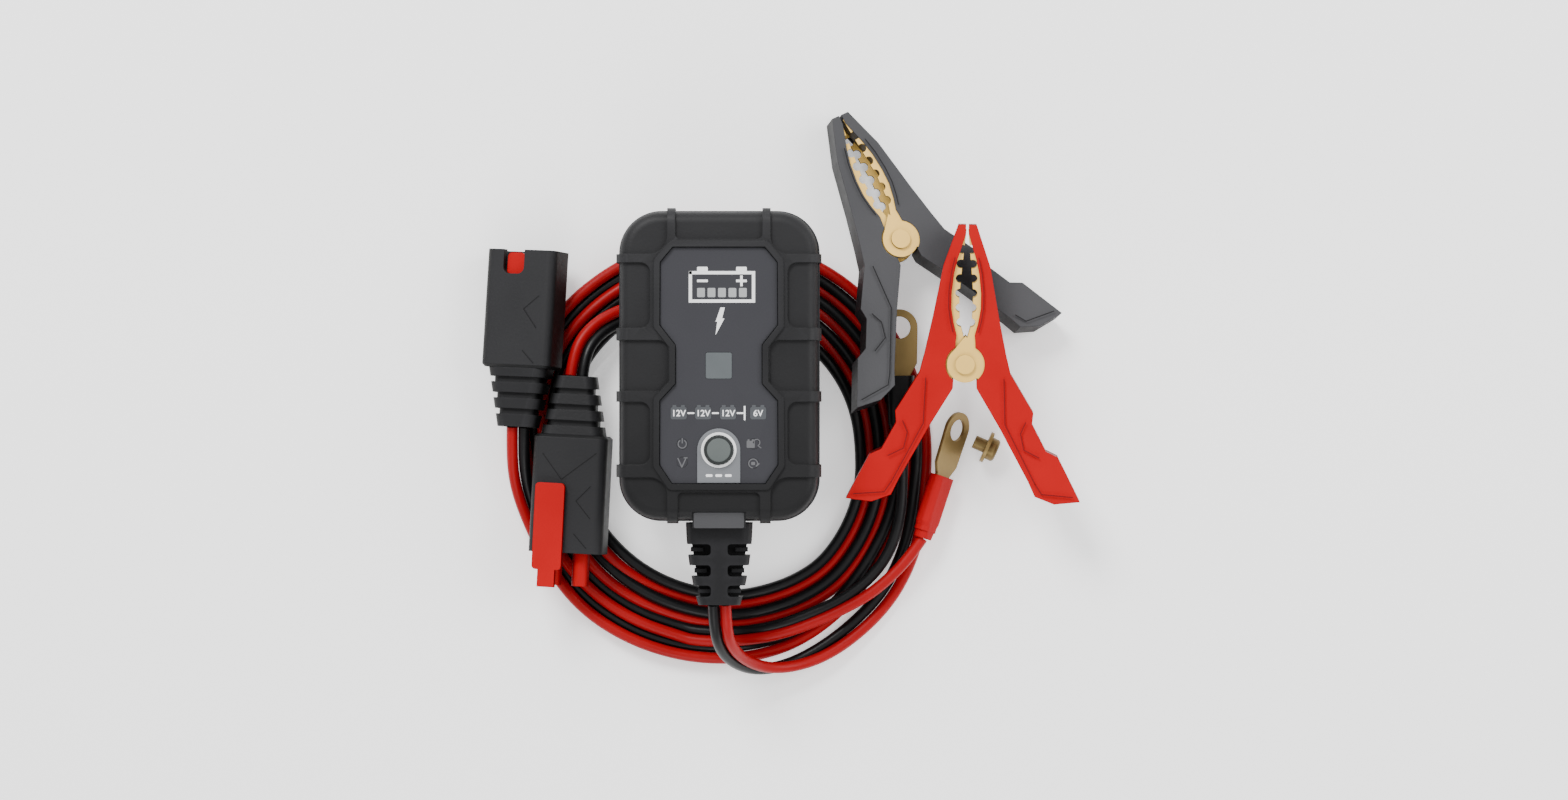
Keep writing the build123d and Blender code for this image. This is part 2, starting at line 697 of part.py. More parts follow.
with BuildPart() as plug_latch:
    with BuildSketch(PLUG_PLANE.offset(BODY_THICK / 2 + LATCH_GAP)):
        with Locations((LATCH_X, MOUTH - LATCH_LENGTH / 2 + 5)):
            RectangleRounded(LATCH_WIDTH, LATCH_LENGTH, 1.2)
        with Locations((LATCH_X, MOUTH + 7)):
            Rectangle(5.0, 6.0)
    extrude(amount=LATCH_THICK)
save(plug_latch.part, "plug_latch")

# ---------------------------------------------------------------- eyelets

EYELET_LENGTH = 38.1
BOOT_LENGTH = 18.8
RING_TIP = EYELET_LENGTH
RING_CENTRE = RING_TIP - RING_HALF_WIDTH
BOOT_THICK = 4.8


def eyelet_boot(plane):
    """The soft sleeve over an eyelet's crimp, from the wire end to its wide end."""
    sections = ((0, 5.2, 4.4), (2.4, 5.8, 4.6), (5.0, 7.6, BOOT_THICK), (BOOT_LENGTH, 8.0, BOOT_THICK))
    with BuildPart() as boot:
        for along, width, thick in sections:
            with BuildSketch(across(plane, along)):
                RectangleRounded(width, thick, 1.9)
        loft(ruled=True)
        with BuildSketch(across(plane, 2.2)):
            RectangleRounded(6.6, BOOT_THICK, 1.9)
        extrude(amount=1.6)
        # The slot that the tongue of the ring sits in
        with BuildSketch(across(plane, BOOT_LENGTH)):
            Rectangle(6.02, RING_THICK)
        extrude(amount=-9, mode=Mode.SUBTRACT)
    return boot.part


def eyelet_ring(plane):
    """The flat ring terminal with the tongue that runs into the sleeve."""
    with BuildPart() as ring:
        with BuildSketch(plane.offset(-RING_THICK / 2)):
            with Locations((0, RING_CENTRE)):
                Circle(RING_HALF_WIDTH)
            with BuildLine():
                Polyline(
                    (-3.0, BOOT_LENGTH - 9),
                    (3.0, BOOT_LENGTH - 9),
                    (3.0, BOOT_LENGTH + 0.4),
                    (RING_HALF_WIDTH - 0.4, BOOT_LENGTH + 3.5),
                    (RING_HALF_WIDTH, RING_CENTRE),
                    (-RING_HALF_WIDTH, RING_CENTRE),
                    (-RING_HALF_WIDTH + 0.4, BOOT_LENGTH + 3.5),
                    (-3.0, BOOT_LENGTH + 0.4),
                    close=True,
                )
            make_face()
            with Locations((0, RING_CENTRE)):
                Circle(RING_BORE, mode=Mode.SUBTRACT)
        extrude(amount=RING_THICK)
    return ring.part


RED_EYELET_PLANE = lying_plane(58.5, -49.7, 7.8, -19.5, -1.25, -0.07)
BLACK_EYELET_PLANE = lying_plane(52.5, -21.5, 8.0, 1.2, 0.0, -0.02)
save(eyelet_ring(RED_EYELET_PLANE), "red_eyelet")
save(eyelet_boot(RED_EYELET_PLANE), "red_boot")
save(eyelet_ring(BLACK_EYELET_PLANE), "black_eyelet")
save(eyelet_boot(BLACK_EYELET_PLANE), "black_boot")

# ---------------------------------------------------------------- loose screw

WASHER_RADIUS = 4.65
WASHER_THICK = 1.0
SHANK_RADIUS = 1.95
SCREW_LENGTH = 4.6
HEAD_RADIUS = 3.35
SCREW_PLANE = Plane(
    spot(76.9, -23.2, WASHER_RADIUS),
    x_dir=(0, 0, 1),
    z_dir=(math.cos(math.radians(24)), -math.sin(math.radians(24)), 0),
)
with BuildPart() as screw_washer:
    with BuildSketch(SCREW_PLANE):
        Circle(WASHER_RADIUS)
        Circle(SHANK_RADIUS + 0.05, mode=Mode.SUBTRACT)
    extrude(amount=WASHER_THICK)
save(screw_washer.part, "screw_washer")

with BuildPart() as eyelet_screw:
    with BuildSketch(SCREW_PLANE.offset(WASHER_THICK)):
        Circle(HEAD_RADIUS)
    extrude(amount=2.6)
    fillet(eyelet_screw.edges().filter_by(GeomType.CIRCLE).sort_by(Axis(SCREW_PLANE.origin, SCREW_PLANE.z_dir))[-1], 1.0)
    with BuildSketch(SCREW_PLANE.offset(WASHER_THICK + 1.4)):
        RegularPolygon(1.9, 6)
    extrude(amount=2.0, mode=Mode.SUBTRACT)
    with BuildSketch(SCREW_PLANE.offset(WASHER_THICK - SCREW_LENGTH)):
        Circle(SHANK_RADIUS)
    extrude(amount=SCREW_LENGTH)
save(eyelet_screw.part, "eyelet_screw")

# ---------------------------------------------------------------- clamps

# Half outlines in the clamp's own plane: the rivet at 0, 0, the jaws along +Y, x measured outwards
GRIP_OUTER = [
    (2.6, 40.1),
    (6.7, 28.2),
    (9.5, 13.4),
    (11.7, 3.1),
    (13.1, -2.6),
    (19.8, -13.6),
    (19.5, -16.9),
    (23.6, -24.6),
    (27.0, -26.2),
    (33.6, -39.0),
    (26.2, -39.8),
]
GRIP_INNER = [(20.6, -37.7), (18.6, -33.4), (10.4, -18.5), (3.4, -6.9)]
GRIP_NECK = [
    (2.8, 6.4),
    (2.6, 8.4),
    (3.5, 11.8),
    (4.2, 16.0),
    (4.2, 20.5),
    (3.6, 26.0),
    (2.6, 30.4),
    (1.2, 34.8),
    (0.4, 37.4),
    (0.4, 40.1),
]
JAW_OUTER = [(1.7, 38.6), (4.2, 29.0), (5.6, 20.0), (5.4, 12.5), (4.6, 8.8)]
JAW_TANG = [(7.0, 2.0), (8.0, -2.0), (13.6, -11.5), (11.6, -13.4), (4.5, -5.0), (0.0, 0.0)]
JAW_SLIT = [(0.3, 7.0), (1.7, 12.0), (2.0, 20.0), (1.3, 28.0), (0.5, 36.0), (0.25, 38.6)]
TEETH = 6
TOOTH_PITCH = 4.2
TOOTH_RADIUS = 1.25
JAW_STEEL = 0.8
GRIP_BEVEL = 0.8


def half_face(points, side):
    """A closed flat face from half-outline points, mirrored onto the wanted side."""
    with BuildSketch() as face:
        with BuildLine():
            Polyline(*[(side * x, y) for x, y in points], close=True)
        make_face()
    return face.sketch


def jaw_face(side, teardrop):
    """Plan of one flange: the toothed jaw, the ear round the rivet and the tang."""
    with BuildSketch() as face:
        add(half_face(JAW_OUTER + JAW_TANG + JAW_SLIT, side))
        for index in range(TEETH):
            along = 12.0 + TOOTH_PITCH * index
            depth = 0.6 + 1.3 * math.sin(math.pi * (along - 4) / 36)
            with Locations((side * depth, along)):
                Circle(TOOTH_RADIUS, mode=Mode.SUBTRACT)
        Circle(EAR_RADIUS)
        if teardrop:
            add(half_face([(0.0, 8.2), (4.0, 3.2), (-4.0, 3.2)], 1))
        Circle(RIVET_HOLE, mode=Mode.SUBTRACT)
    return face.sketch


def clamp_jaw(plane, side, flange_low, teardrop):
    """One folded brass jaw: an upper and a lower flange joined by the outer web."""
    web = JAW_OUTER + [(x - JAW_STEEL, y) for x, y in reversed(JAW_OUTER)]
    with BuildPart() as jaw:
        for low in (flange_low, -flange_low - FLANGE):
            with BuildSketch(plane.offset(low)):
                add(jaw_face(side, teardrop))
            extrude(amount=FLANGE)
        with BuildSketch(plane.offset(-flange_low)):
            add(half_face(web, side))
        extrude(amount=2 * flange_low)
    return jaw.part


def grip_face():
    """Plan of the right-hand grip, with room for the ears round the rivet."""
    with BuildSketch() as face:
        add(half_face(GRIP_OUTER + GRIP_INNER + GRIP_NECK, 1))
        Circle(HUB_CLEAR, mode=Mode.SUBTRACT)
    return face.sketch


def clamp_grip(plane, flange_low):
    """The right-hand plastic grip with bevelled edges and a pocket for the jaw."""
    pocket = flange_low + FLANGE
    straight = CLAMP_HALF_THICK - GRIP_BEVEL
    with BuildPart() as grip:
        with BuildSketch(plane.offset(-straight)):
            add(grip_face())
        extrude(amount=2 * straight)
        with BuildSketch(plane.offset(straight)):
            add(grip_face())
        extrude(amount=GRIP_BEVEL, taper=40)
        with BuildSketch(plane.offset(-straight)):
            add(grip_face())
        extrude(amount=-GRIP_BEVEL, taper=40)
        with BuildSketch(plane.offset(-pocket)):
            add(half_face(JAW_OUTER + JAW_TANG + JAW_SLIT, 1))
        extrude(amount=2 * pocket, mode=Mode.SUBTRACT)
    return grip.part


def clamp_rivet(plane):
    """The rivet through both jaws, with a head at each side."""
    head_low = 3.7 + FLANGE + 0.05
    with BuildPart() as rivet:
        with BuildSketch(plane.offset(-head_low)):
            Circle(RIVET_RADIUS)
        extrude(amount=2 * head_low)
        for low in (head_low, -head_low - 0.8):
            with BuildSketch(plane.offset(low)):
                Circle(RIVET_HEAD)
            extrude(amount=0.8)
    return rivet.part


def clamp_spring(plane):
    """The closed-wound torsion spring round the rivet, as a grooved sleeve."""
    turns = 5
    wire = 1.0
    with BuildPart() as spring:
        with BuildSketch(Plane(plane.origin, x_dir=plane.x_dir, z_dir=-plane.y_dir)):
            for index in range(turns):
                with Locations((2.75, (index - (turns - 1) / 2) * (wire - 0.04))):
                    Circle(wire / 2)
        revolve(axis=Axis(plane.origin, plane.z_dir))
    return spring.part


RED_CLAMP_PLANE = lying_plane(70.6, 1.1, 14.5, -1.0, 0.03, 0.065).offset(CLAMP_HALF_THICK)
BLACK_CLAMP_PLANE = lying_plane(50.4, 34.9, 4.5, 24.7, -0.2295, -0.0975).offset(CLAMP_HALF_THICK)
LEFT_FLANGE = 2.9
RIGHT_FLANGE = 3.7
for name, plane in (("red", RED_CLAMP_PLANE), ("black", BLACK_CLAMP_PLANE)):
    save(clamp_jaw(plane, -1, LEFT_FLANGE, False), f"{name}_jaw_left")
    save(clamp_jaw(plane, 1, RIGHT_FLANGE, True), f"{name}_jaw_right")
    middle = Plane(plane.origin, z_dir=plane.x_dir)
    save(clamp_grip(plane, LEFT_FLANGE).mirror(middle), f"{name}_grip_left")
    save(clamp_grip(plane, RIGHT_FLANGE), f"{name}_grip_right")
    save(clamp_rivet(plane), f"{name}_rivet")
    save(clamp_spring(plane), f"{name}_spring")
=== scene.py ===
"""Car battery charger with its coiled leads, eyelets and clamps, dressed over the CAD frame."""

import math

import bpy
from mathutils import Matrix, Vector


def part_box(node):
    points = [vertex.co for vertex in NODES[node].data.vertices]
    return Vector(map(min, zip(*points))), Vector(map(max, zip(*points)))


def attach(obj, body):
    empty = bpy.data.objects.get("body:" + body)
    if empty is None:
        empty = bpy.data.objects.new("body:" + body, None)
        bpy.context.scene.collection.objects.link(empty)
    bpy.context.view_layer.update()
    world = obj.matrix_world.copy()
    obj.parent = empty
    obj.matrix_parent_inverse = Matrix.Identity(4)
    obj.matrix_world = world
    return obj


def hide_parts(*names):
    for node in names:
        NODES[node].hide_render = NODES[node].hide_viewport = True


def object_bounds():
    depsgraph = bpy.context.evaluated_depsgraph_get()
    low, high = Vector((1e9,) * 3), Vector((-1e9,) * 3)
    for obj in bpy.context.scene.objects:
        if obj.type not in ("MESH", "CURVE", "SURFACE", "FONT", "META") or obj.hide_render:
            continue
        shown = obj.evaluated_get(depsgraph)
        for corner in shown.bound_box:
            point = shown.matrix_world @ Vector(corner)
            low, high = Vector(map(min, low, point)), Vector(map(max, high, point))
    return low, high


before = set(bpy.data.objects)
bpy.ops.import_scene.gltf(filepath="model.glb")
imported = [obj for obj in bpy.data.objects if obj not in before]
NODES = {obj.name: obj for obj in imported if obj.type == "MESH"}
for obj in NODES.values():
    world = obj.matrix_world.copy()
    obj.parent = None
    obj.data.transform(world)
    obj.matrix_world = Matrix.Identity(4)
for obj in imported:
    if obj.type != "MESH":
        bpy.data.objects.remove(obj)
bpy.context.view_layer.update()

MM = 0.001
WIRE = 3.3 * MM
# How far the bevel shader rounds a worn edge
EDGE = 0.35 * MM
# Along Y, painted shade darkens the case from the first of these towards the second
SHADE_START_Y = 30 * MM
SHADE_FULL_Y = -52 * MM
window_low, window_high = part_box("charge_window")
MIDDLE = (window_low + window_high) / 2


def at(x, y, z):
    """A point in metres from millimetres measured from the middle of the charger."""
    return Vector((MIDDLE.x + x * MM, MIDDLE.y + y * MM, z * MM))


# ---------------------------------------------------------------- materials


def link(tree, source, target):
    tree.links.new(source, target)


def noise(tree, coords, scale, detail, rough=0.55):
    """A noise texture in object coordinates."""
    node = tree.nodes.new("ShaderNodeTexNoise")
    node.inputs["Scale"].default_value = scale
    node.inputs["Detail"].default_value = detail
    node.inputs["Roughness"].default_value = rough
    link(tree, coords, node.inputs["Vector"])
    return node.outputs["Fac"]


def ranged(tree, source, low, high, from_low=0.3, from_high=0.7):
    """The source value spread from low to high."""
    node = tree.nodes.new("ShaderNodeMapRange")
    node.inputs["From Min"].default_value = from_low
    node.inputs["From Max"].default_value = from_high
    node.inputs["To Min"].default_value = low
    node.inputs["To Max"].default_value = high
    link(tree, source, node.inputs["Value"])
    return node.outputs["Result"]


def blended(tree, factor, first, second):
    """A colour mix; first is a colour or a socket, second a colour."""
    node = tree.nodes.new("ShaderNodeMix")
    node.data_type = "RGBA"
    link(tree, factor, node.inputs["Factor"])
    if isinstance(first, tuple):
        node.inputs["A"].default_value = (*first, 1)
    else:
        link(tree, first, node.inputs["A"])
    node.inputs["B"].default_value = (*second, 1)
    return node.outputs["Result"]


MOTTLE_SCALE = 55


def shade(colour, factor):
    """The colour times a factor, no channel above 1."""
    return tuple(min(1.0, channel * factor) for channel in colour)


def material(
    name, colour, rough, metal=0.0, grain=900, bump=0.02, wear=1.35, shine=0.2,
    painted_side_shade=None, painted_low_shade=None, printed=False,
):
    """A procedural finish with mottled colour, uneven gloss, fine grain and worn edges.

    grain is the scale of the fine noise, bump its height in millimetres and wear the gain on sharp
    edges. The first of the two optional colours is painted shade on what doesn't face up, the
    second painted shade that darkens the end towards the lead.
    printed is for thin marks: their edges aren't rounded.
    """
    made = bpy.data.materials.new(name)
    made.use_nodes = True
    tree = made.node_tree
    shader = tree.nodes["Principled BSDF"]
    coords = tree.nodes.new("ShaderNodeTexCoord").outputs["Object"]
    broad = noise(tree, coords, MOTTLE_SCALE, 4)
    fine = noise(tree, coords, grain, 3)
    mottled = blended(tree, ranged(tree, broad, 0.0, 1.0), shade(colour, 0.9), shade(colour, 1.1))
    worn = tree.nodes.new("ShaderNodeNewGeometry").outputs["Pointiness"]
    edges = ranged(tree, worn, 0.0, 0.55, 0.52, 0.62)
    finished = blended(tree, edges, mottled, shade(colour, wear))
    # Painted shade: faces that don't face up take the darker colour given for them
    if painted_side_shade:
        split = tree.nodes.new("ShaderNodeSeparateXYZ")
        normal = tree.nodes.new("ShaderNodeNewGeometry").outputs["Normal"]
        link(tree, normal, split.inputs["Vector"])
        side_shade_mask = ranged(tree, split.outputs["Z"], 1.0, 0.0, 0.55, 0.85)
        finished = blended(tree, side_shade_mask, finished, painted_side_shade)
    # Painted shade: the colour darkens along Y towards the end where the lead leaves
    if painted_low_shade:
        placed = tree.nodes.new("ShaderNodeSeparateXYZ")
        link(tree, coords, placed.inputs["Vector"])
        low_shade_mask = ranged(tree, placed.outputs["Y"], 1.0, 0.0, SHADE_FULL_Y, SHADE_START_Y)
        finished = blended(tree, low_shade_mask, finished, painted_low_shade)
    link(tree, finished, shader.inputs["Base Color"])
    gloss = ranged(tree, broad, max(rough - 0.07, 0.05), min(rough + 0.09, 1.0))
    link(tree, gloss, shader.inputs["Roughness"])
    shader.inputs["Metallic"].default_value = metal
    shader.inputs["Specular IOR Level"].default_value = shine
    relief = tree.nodes.new("ShaderNodeBump")
    relief.inputs["Strength"].default_value = 1.0
    relief.inputs["Distance"].default_value = bump * MM
    link(tree, fine, relief.inputs["Height"])
    if not printed:
        rounded = tree.nodes.new("ShaderNodeBevel")
        rounded.samples = 4
        rounded.inputs["Radius"].default_value = EDGE
        link(tree, rounded.outputs["Normal"], relief.inputs["Normal"])
    link(tree, relief.outputs["Normal"], shader.inputs["Normal"])
    return made


# The case, with painted shade that darkens it along Y towards the lead's end
CASE = material(
    "case", (0.0115, 0.0115, 0.0125), 0.5, grain=1400, bump=0.05, wear=2.4,
    painted_low_shade=(0.005, 0.005, 0.0055),
)
CASE_REAR = material(
    "case_rear", (0.012, 0.012, 0.0135), 0.42, grain=1400, bump=0.05, wear=2.8, shine=0.3,
)
PANEL = material("panel", (0.025, 0.025, 0.0285), 0.6, grain=2200, bump=0.03, wear=1.6, shine=0.12)
PLATE = material("plate", (0.125, 0.130, 0.139), 0.55, grain=2200, bump=0.02, shine=0.12)
PRINT = material(
    "white_print", (0.80, 0.80, 0.80), 0.5, grain=2000, bump=0.01, wear=1.0, printed=True,
)
PRINT_GREY = material(
    "grey_print", (0.30, 0.305, 0.31), 0.5, grain=2000, bump=0.01, wear=1.0, printed=True,
)
BUTTON = material("button", (0.088, 0.100, 0.097), 0.4, grain=1800, bump=0.02)
# A darker copy of the button's grey, for painted shade round its edge
BUTTON_EDGE_SHADE = material(
    "button_edge_shade", (0.016, 0.018, 0.018), 0.4, grain=1800, bump=0.02, printed=True,
)
WINDOW = material("window", (0.070, 0.078, 0.082), 0.35, grain=1500, bump=0.01)
ICON = material("icon_window", (0.052, 0.055, 0.060), 0.45, grain=1500, bump=0.01, printed=True)
DIM = material("dim_print", (0.085, 0.085, 0.09), 0.5, grain=2000, bump=0.01, printed=True)
SEAL = material("seal", (0.008, 0.008, 0.008), 0.7, bump=0.05)
BOARD = material("board", (0.02, 0.16, 0.05), 0.45, grain=1200, bump=0.03)
CORE = material("core", (0.14, 0.14, 0.15), 0.45, metal=0.7, bump=0.05)
COPPER = material("copper", (0.62, 0.26, 0.12), 0.35, metal=1.0, bump=0.04)
ALLOY = material("alloy", (0.55, 0.56, 0.58), 0.38, metal=1.0, bump=0.03)
CHIP = material("chip", (0.03, 0.03, 0.03), 0.5, bump=0.03)
# Brass, with painted shade on its faces that don't face up
BRASS = material(
    "brass", (0.80, 0.51, 0.13), 0.45, metal=0.15, grain=700, bump=0.03, wear=1.1, shine=0.15,
    painted_side_shade=(0.070, 0.050, 0.020),
)
BRASS_DARK = material(
    "brass_dark", (0.16, 0.11, 0.04), 0.36, metal=0.6, grain=700, bump=0.04, wear=2.2, shine=0.3,
)
STEEL = material("steel", (0.62, 0.62, 0.62), 0.28, metal=1.0, bump=0.02)
RED_WIRE = material(
    "red_wire", (0.30, 0.002, 0.004), 0.36, grain=900, bump=0.03, wear=1.1, shine=0.16,
)
BLACK_WIRE = material("black_wire", (0.0035, 0.0035, 0.004), 0.34, grain=900, bump=0.03, shine=0.22)
# The connectors, with painted shade on their sides
CONNECTOR = material(
    "connector", (0.011, 0.011, 0.012), 0.5, grain=1300, bump=0.06, wear=1.8,
    painted_side_shade=(0.003, 0.003, 0.003),
)
# Red and grey grip plastic, with painted shade on faces that don't face up
RED_PLASTIC = material(
    "red_plastic", (0.37, 0.0035, 0.005), 0.45, grain=1200, bump=0.03, wear=1.1, shine=0.08,
    painted_side_shade=(0.15, 0.0015, 0.003),
)
GREY_PLASTIC = material(
    "grey_plastic", (0.046, 0.046, 0.049), 0.5, grain=1200, bump=0.04, wear=1.3, shine=0.12,
    painted_side_shade=(0.010, 0.010, 0.011),
)
# Darker red and black, used as painted shade in grooves, creases and slots
RED_PAINTED_SHADE = material("red_painted_shade", (0.10, 0.002, 0.003), 0.5, grain=1200, bump=0.02, printed=True)
BLACK_PAINTED_SHADE = material(
    "black_painted_shade", (0.003, 0.003, 0.0035), 0.5, grain=1200, bump=0.02, printed=True,
)
BOOT_RED = material(
    "boot_red", (0.34, 0.003, 0.005), 0.45, grain=900, bump=0.05, wear=1.1, shine=0.1,
)
RELIEF = material("relief", (0.007, 0.007, 0.008), 0.5, grain=1000, bump=0.06, wear=2.2)
CAP = material("relief_cap", (0.043, 0.043, 0.046), 0.5, grain=1400, bump=0.04, printed=True)

# Each CAD node's finish and material slot
FINISHES = {
    "rear_shell": (CASE_REAR, "case_plastic"),
    "front_shell": (CASE, "case_plastic"),
    "case_seal": (SEAL, "seal_rubber"),
    "case_screws": (STEEL, "steel_bright"),
    "control_panel": (PANEL, "panel_plastic"),
    "button_plate": (PLATE, "plate_grey"),
    "button_ring": (PRINT, "ring_white"),
    "mode_button": (BUTTON, "button_grey"),
    "charge_window": (WINDOW, "window_grey"),
    "battery_windows": (ICON, "window_grey"),
    "status_windows": (PANEL, "window_grey"),
    "circuit_board": (BOARD, "board_green"),
    "mode_switch": (CHIP, "chip_black"),
    "indicator_leds": (PRINT, "window_grey"),
    "transformer_core": (CORE, "core_grey"),
    "transformer_winding": (COPPER, "copper_wire"),
    "capacitors": (CHIP, "chip_black"),
    "heat_sink": (ALLOY, "alloy"),
    "power_transistors": (CHIP, "chip_black"),
    "board_chips": (CHIP, "chip_black"),
    "fuse": (ALLOY, "alloy"),
    "blade_carrier": (SEAL, "case_plastic"),
    "ac_blades": (STEEL, "plated_brass"),
    "board_wires": (RED_WIRE, "lead_red"),
    "strain_relief": (RELIEF, "seal_rubber"),
    "plug_shell": (CONNECTOR, "connector_black"),
    "plug_relief": (CONNECTOR, "connector_black"),
    "plug_insert": (RED_PLASTIC, "plastic_red"),
    "plug_latch": (RED_PLASTIC, "plastic_red"),
    "plug_contacts": (BRASS, "plated_brass"),
    "socket_shell": (CONNECTOR, "connector_black"),
    "socket_relief": (CONNECTOR, "connector_black"),
    "socket_insert": (RED_PLASTIC, "plastic_red"),
    "socket_contacts": (BRASS, "plated_brass"),
    "red_eyelet": (BRASS_DARK, "plated_brass"),
    "red_boot": (BOOT_RED, "lead_red"),
    "black_eyelet": (BRASS_DARK, "plated_brass"),
    "black_boot": (BLACK_WIRE, "lead_black"),
    "eyelet_screw": (BRASS_DARK, "plated_brass"),
    "screw_washer": (BRASS_DARK, "plated_brass"),
}
GRIPS = {"red": (RED_PLASTIC, "plastic_red"), "black": (GREY_PLASTIC, "plastic_grey")}
for colour_name, grip in GRIPS.items():
    for side in ("left", "right"):
        FINISHES[f"{colour_name}_jaw_{side}"] = (BRASS, "plated_brass")
        FINISHES[f"{colour_name}_grip_{side}"] = grip
    FINISHES[f"{colour_name}_rivet"] = (BRASS, "plated_brass")
    FINISHES[f"{colour_name}_spring"] = (STEEL, "steel_bright")

for node_name, (finish, slot_name) in FINISHES.items():
    NODES[node_name].data.materials.clear()
    NODES[node_name].data.materials.append(finish)

# ---------------------------------------------------------------- cords

# All in millimetres from the middle of the charger, or degrees from +X, counter-clockwise
COIL_X = -0.7
COIL_Y = -24.2
# Half the distance between the two strands of a pair, and a rolled pair's height on the floor
PAIR_HALF = 1.71
FLOOR_PAIR = 2.68
# The most that a pair is rolled, which lets the next one lie against it
PAIR_ROLL = 36.7
STEP_DEGREES = 12
# Radii at which the coil's turns lie beside each other
SLOT_1 = 59.3
SLOT_2 = 53.8
SLOT_3 = 48.2
SLOT_4 = 42.7
# Where round the coil each lead's red strand lies higher than its black one
CHARGER_RED_HIGH = 140
CLAMP_RED_HIGH = 190


def eased(value):
    """0 to 1 with a soft start and end."""
    value = min(1.0, max(0.0, value))
    return value * value * (3 - 2 * value)


def between(knots, angle):
    """The value at an angle, eased between the knots on either side."""
    for (a, low), (b, high) in zip(knots, knots[1:]):
        if a <= angle <= b:
            return low + (high - low) * eased((angle - a) / (b - a))
    return knots[-1][1] if angle > knots[-1][0] else knots[0][1]


def coil_row(angle, radius, height, red_high):
    """One row of a pair's path on the coil: x, y, z and the pair's roll in degrees."""
    turn = math.radians(angle)
    lean = max(-1.0, min(1.0, 3 * math.cos(turn - math.radians(red_high))))
    x = COIL_X + radius * math.cos(turn)
    y = COIL_Y + radius * math.sin(turn)
    return (x, y, height, PAIR_ROLL * lean)


def coil_rows(first, last, radii, heights, red_high):
    """Rows of a pair's path round the coil, counter-clockwise from first to last."""
    count = round((last - first) / STEP_DEGREES)
    angles = [first + (last - first) * index / count for index in range(count + 1)]
    return [
        coil_row(angle, between(radii, angle), between(heights, angle), red_high)
        for angle in angles
    ]


def strand(rows, sign):
    """The centreline of one strand of a pair: sign 1 is the red one, -1 the black."""
    points = []
    for index, (x, y, z, roll) in enumerate(rows):
        before = Vector(rows[max(index - 1, 0)][:3])
        after = Vector(rows[min(index + 1, len(rows) - 1)][:3])
        heading = (after - before).normalized()
        right = heading.cross(Vector((0, 0, 1))).normalized()
        up = right.cross(heading)
        lean = math.radians(roll)
        away = (right * math.cos(lean) + up * math.sin(lean)) * PAIR_HALF * sign
        points.append((x + away.x, y + away.y, z + away.z))
    return points


def lead(name, points, finish):
    """A round lead along the points, as an open curve."""
    curve = bpy.data.curves.new(name, "CURVE")
    curve.dimensions = "3D"
    spline = curve.splines.new("NURBS")
    spline.points.add(len(points) - 1)
    for target, point in zip(spline.points, points):
        target.co = (*at(*point), 1.0)
    spline.order_u = 3
    spline.use_endpoint_u = True
    curve.resolution_u = 8
    curve.bevel_resolution = 5
    curve.bevel_depth = WIRE / 2
    curve.use_fill_caps = True
    piece = bpy.data.objects.new(name, curve)
    bpy.context.scene.collection.objects.link(piece)
    curve.materials.append(finish)
    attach(piece, "charger")
    return piece


# The charger's own lead: out of the strain relief, down to the floor, about 2.7 turns in all, and
# up into the plug half. A row is x, y, z and the pair's roll; radii and heights go by angle.
EXIT_ROWS = [
    (0.0, -68.0, 33.0, 180),
    (0.2, -74.0, 31.4, 178),
    (1.4, -80.2, 25.6, 168),
    (5.0, -84.8, 17.4, 145),
    (11.5, -87.6, 9.6, 112),
    (20.0, -87.0, 5.2, 75),
    (30.0, -82.9, 3.6, 35),
    (40.0, -75.6, 2.1, 8),
    (48.4, -66.6, 1.9, 0),
    (53.8, -56.4, 1.9, -4),
    (56.7, -46.0, 2.1, -16),
    (57.8, -36.0, 2.5, -30),
]
PLUG_ROWS = [
    (-23.0, 16.6, 5.0, 30),
    (-30.0, 14.4, 7.6, 20),
    (-36.4, 10.4, 10.4, 8),
    (-40.6, 4.2, 12.6, 0),
    (-41.4, -2.8, 13.0, 0),
]
CHARGER_RADII = [
    (0, SLOT_1),
    (78, SLOT_1),
    (112, SLOT_2),
    (148, SLOT_2),
    (190, SLOT_3),
    (250, SLOT_3),
    (284, 50.0),
    (312, 51.4),
    (336, 50.0),
    (362, SLOT_3),
    (505, SLOT_3),
    (550, SLOT_4),
    (612, SLOT_4),
    (646, 44.4),
    (672, 45.8),
    (696, 44.5),
    (722, SLOT_4),
    (800, SLOT_4),
    (838, 46.5),
]
CHARGER_HEIGHTS = [(0, FLOOR_PAIR), (806, FLOOR_PAIR), (838, 5.0)]
charger_coil = coil_rows(0, 828, CHARGER_RADII, CHARGER_HEIGHTS, CHARGER_RED_HIGH)
charger_rows = EXIT_ROWS + charger_coil + PLUG_ROWS

# The clamps' lead: out of the socket half, about 1.5 turns in all; its strands part for the
# eyelets
SOCKET_ROWS = [
    (-58.4, -17.5, 12.0, 0),
    (-58.6, -24.5, 10.8, 0),
    (-58.2, -32.0, 7.6, 10),
    (-56.6, -39.0, 4.9, 25),
]
CLAMP_RADII = [
    (205, 57.6),
    (228, SLOT_1),
    (284, SLOT_1),
    (336, SLOT_2 + 1.2),
    (360, SLOT_2),
    (438, SLOT_2),
    (474, SLOT_1),
    (508, SLOT_1),
    (550, SLOT_2),
    (620, SLOT_2),
]
CLAMP_HEIGHTS = [
    (205, 3.2),
    (222, FLOOR_PAIR),
    (434, FLOOR_PAIR),
    (448, 7.2),
    (464, 7.2),
    (480, FLOOR_PAIR),
    (620, FLOOR_PAIR),
]
clamp_rows = SOCKET_ROWS + coil_rows(205, 618, CLAMP_RADII, CLAMP_HEIGHTS, CLAMP_RED_HIGH)
